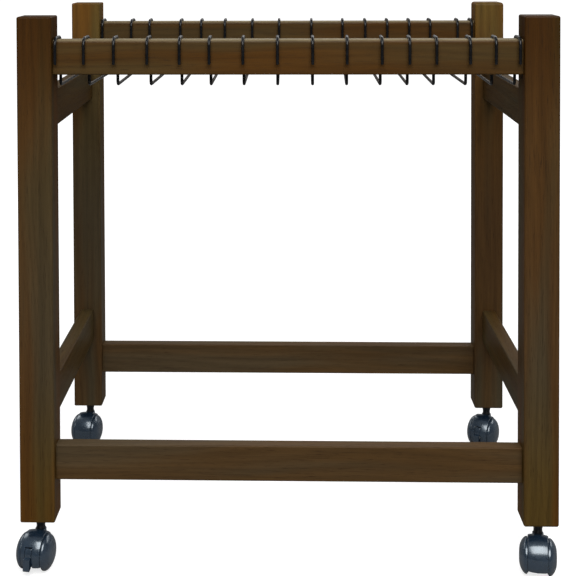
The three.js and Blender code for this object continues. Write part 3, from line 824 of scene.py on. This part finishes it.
def stem_mesh():
    """A stud with a slightly waisted neck and a collar under the leg."""
    top, foot = LEG_FOOT - FIT_GAP, SOCKET_TOP + FIT_GAP
    waist, collar = NECK_RADIUS - 0.4, NECK_RADIUS + 0.6
    profile = [
        (0, STEM_FOOT), (STUD_RADIUS - 0.5, STEM_FOOT), (STUD_RADIUS, STEM_FOOT + 0.5),
        (STUD_RADIUS, foot), (NECK_RADIUS - 0.2, foot), (NECK_RADIUS, foot + 0.2),
        (NECK_RADIUS - 0.1, foot + 1.2), (waist, foot + 3.0), (waist, foot + 5.0),
        (NECK_RADIUS - 0.1, foot + 6.5), (NECK_RADIUS + 0.2, foot + 7.6),
        (NECK_RADIUS + 0.2, top - 2.4), (collar - 0.3, top - 2.0), (collar, top - 1.6),
        (collar, top - 0.4), (collar - 0.4, top), (STUD_RADIUS, top),
        (STUD_RADIUS, STUD_TOP - 0.5), (STUD_RADIUS - 0.5, STUD_TOP), (0, STUD_TOP),
    ]
    return lathe(profile, 48, UPRIGHT)


def axle_mesh():
    """A pin with chamfered ends."""
    half = AXLE_LONG / 2
    profile = [(0, -half), (AXLE_RADIUS - 0.4, -half), (AXLE_RADIUS, -half + 0.4),
               (AXLE_RADIUS, half - 0.4), (AXLE_RADIUS - 0.4, half), (0, half)]
    return lathe(profile, 40, place(0, -TRAIL, AXLE_HEIGHT))


def build_casters():
    """Four casters, each at its swivel joint and turned as that joint's axle says."""
    hoods = {True: hood_mesh(True), False: hood_mesh(False)}
    lever, stem, axle = lever_mesh(), stem_mesh(), axle_mesh()
    wheels = {"left": wheel_mesh(-1), "right": wheel_mesh(1)}
    for number, (end, lateral) in enumerate(CORNERS):
        corner = f"{end}_{lateral}"
        prefix = f"caster_{corner}"
        swivel = JOINTS[f"swivel_{corner}"]["pos_m"]
        axle_way = JOINTS[f"spin_{corner}_left"]["axis"]
        turn = math.atan2(axle_way[1], axle_way[0])
        there = place(swivel[0] / MM, swivel[1] / MM, 0, turn)
        braked = f"{prefix}_brake_lever" in NODES
        plastic = moulded_plastic(f"caster_plastic_{corner}", SLATE, 20 + number)

        def put(mesh, node, material, crease):
            own = mesh.copy()
            own.transform(there)
            return new_piece(f"{node}_form", own, node, material, crease)

        put(hoods[braked], f"{prefix}_hood", plastic, 50)
        put(axle, f"{prefix}_axle", ZINC, 35)
        put(stem, f"{prefix}_stem", STEM_COAT, 40)
        for side in ("left", "right"):
            put(wheels[side], f"{prefix}_wheel_{side}", plastic, 45)
        if braked:
            put(lever, f"{prefix}_brake_lever", plastic, 50)


for index, (end, side) in enumerate(CORNERS):
    build_leg(end, side, 100 + index)
for index, end in enumerate(("front", "back")):
    build_long_rail(f"hanging_rail_{end}", "hanging", 200 + index)
    build_long_rail(f"lower_rail_{end}", "lower", 210 + index)
for index, side in enumerate(("left", "right")):
    build_side_rail(f"side_rail_upper_{side}", 220 + index)
    build_side_rail(f"side_rail_lower_{side}", 230 + index)
build_screws()
for number in range(1, 17):
    build_hanger(number)
build_casters()


# ---- floor, light and camera ----

def camera_only(tree, seen, lit):
    """A socket that is one value to the camera and another to light that bounces."""
    path = tree.nodes.new("ShaderNodeLightPath")
    mix = tree.nodes.new("ShaderNodeMix")
    mix.data_type = "RGBA"
    for key, value in ((0, path.outputs["Is Camera Ray"]), (6, lit), (7, seen)):
        feed(tree, mix.inputs[key], value)
    return mix.outputs[2]


def floor():
    """A plain pale floor, nearly white to the camera, that throws little light back."""
    bm = bmesh.new()
    bmesh.ops.create_grid(bm, x_segments=8, y_segments=8, size=FLOOR_HALF)
    mesh = bpy.data.meshes.new("floor")
    bm.to_mesh(mesh)
    bm.free()
    obj = bpy.data.objects.new("floor", mesh)
    bpy.context.scene.collection.objects.link(obj)
    graph = Graph("pale_floor")
    coords = graph.add("ShaderNodeTexCoord").outputs["Object"]
    pale = graph.ramp(graph.noise(coords, 3.0, 3.0), [(0.3, grey(0.48)), (0.7, grey(0.5))])
    graph.set("Base Color", camera_only(graph.tree, pale, grey(FLOOR_BOUNCE)))
    graph.set("Roughness", 0.9)
    graph.set("Specular IOR Level", 0.0)
    graph.set("Emission Color", grey(1.0))
    distance = graph.add("ShaderNodeVectorMath", {0: coords}, operation="LENGTH").outputs["Value"]
    glow = graph.spread(distance, *GLOW_REACH, FLOOR_GLOW, 1.0, smooth=True)
    graph.set("Emission Strength", camera_only(graph.tree, glow, grey(0.0)))
    mesh.materials.append(graph.material)


def softbox(name, azimuth, elevation, distance, size, strength):
    """An area light aimed at the middle of the rack. Azimuth 0 is in front, 90 is at the right."""
    a, e = math.radians(azimuth), math.radians(elevation)
    middle = (CAD_BOX[0] + CAD_BOX[1]) / 2
    away = Vector((math.sin(a) * math.cos(e), -math.cos(a) * math.cos(e), math.sin(e)))
    data = bpy.data.lights.new(name, "AREA")
    data.shape, data.size, data.size_y = "RECTANGLE", size[0], size[1]
    data.energy = strength * math.pi * size[0] * size[1]
    obj = bpy.data.objects.new(name, data)
    bpy.context.scene.collection.objects.link(obj)
    obj.location = middle + away * distance
    obj.rotation_euler = (-away).to_track_quat("-Z", "Y").to_euler()


def studio():
    """Soft light from high in front, weaker ones behind and at both sides, and a dim room that
    looks white to the camera."""
    world = bpy.data.worlds.new("studio")
    bpy.context.scene.world = world
    world.use_nodes = True
    tree = world.node_tree
    back = tree.nodes["Background"]
    coords = tree.nodes.new("ShaderNodeTexCoord")
    split = tree.nodes.new("ShaderNodeSeparateXYZ")
    tree.links.new(coords.outputs["Generated"], split.inputs[0])
    depth = tree.nodes.new("ShaderNodeMapRange")
    for name, value in (("Value", split.outputs["Y"]), ("From Min", -1.0), ("From Max", 1.0),
                        ("To Min", ROOM_LIGHT[0]), ("To Max", ROOM_LIGHT[1])):
        feed(tree, depth.inputs[name], value)
    tree.links.new(camera_only(tree, grey(1.0), depth.outputs[0]), back.inputs["Color"])
    for name, settings in SOFTBOXES.items():
        softbox(name, *settings)
    bpy.context.scene.view_settings.view_transform = "Standard"


def photo_camera():
    """The photograph's viewpoint. Its lens shift only counts while the camera stands there."""
    data = bpy.data.cameras.new("camera")
    obj = bpy.data.objects.new("camera", data)
    bpy.context.scene.collection.objects.link(obj)
    data.sensor_width, data.lens = 36.0, CAMERA_LENS
    left_leg, right_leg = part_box("leg_front_left"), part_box("leg_front_right")
    centre = (left_leg[0].x + right_leg[1].x) / 2
    aside, distance, height = CAMERA_AT
    stand = Vector((centre + aside * MM, left_leg[0].y - distance * MM, height * MM))
    yaw, pitch, roll = CAMERA_TURN
    forward = Vector((math.sin(yaw) * math.cos(pitch), math.cos(yaw) * math.cos(pitch),
                      -math.sin(pitch)))
    level = Vector((math.cos(yaw), -math.sin(yaw), 0))
    above = level.cross(forward)
    right = level * math.cos(roll) + above * math.sin(roll)
    up = above * math.cos(roll) - level * math.sin(roll)
    turn = Matrix((right, up, -forward)).transposed().to_4x4()
    obj.matrix_world = Matrix.Translation(stand) @ turn
    data.clip_start, data.clip_end = 0.05, 100.0
    mark = bpy.data.objects.new("camera_stand", None)
    mark.location = stand
    bpy.context.scene.collection.objects.link(mark)
    for axis, amount in zip(("shift_x", "shift_y"), CAMERA_SHIFT):
        curve = data.driver_add(axis)
        curve.driver.type = "SUM"
        variable = curve.driver.variables.new()
        variable.name, variable.type = "moved", "LOC_DIFF"
        variable.targets[0].id, variable.targets[1].id = obj, mark
        while curve.modifiers:
            curve.modifiers.remove(curve.modifiers[0])
        for moved, value in ((0.0, amount), (SHIFT_REACH, 0.0)):
            curve.keyframe_points.insert(moved, value).interpolation = "LINEAR"
        curve.extrapolation = "CONSTANT"
    bpy.context.scene.camera = obj


floor()
studio()
photo_camera()
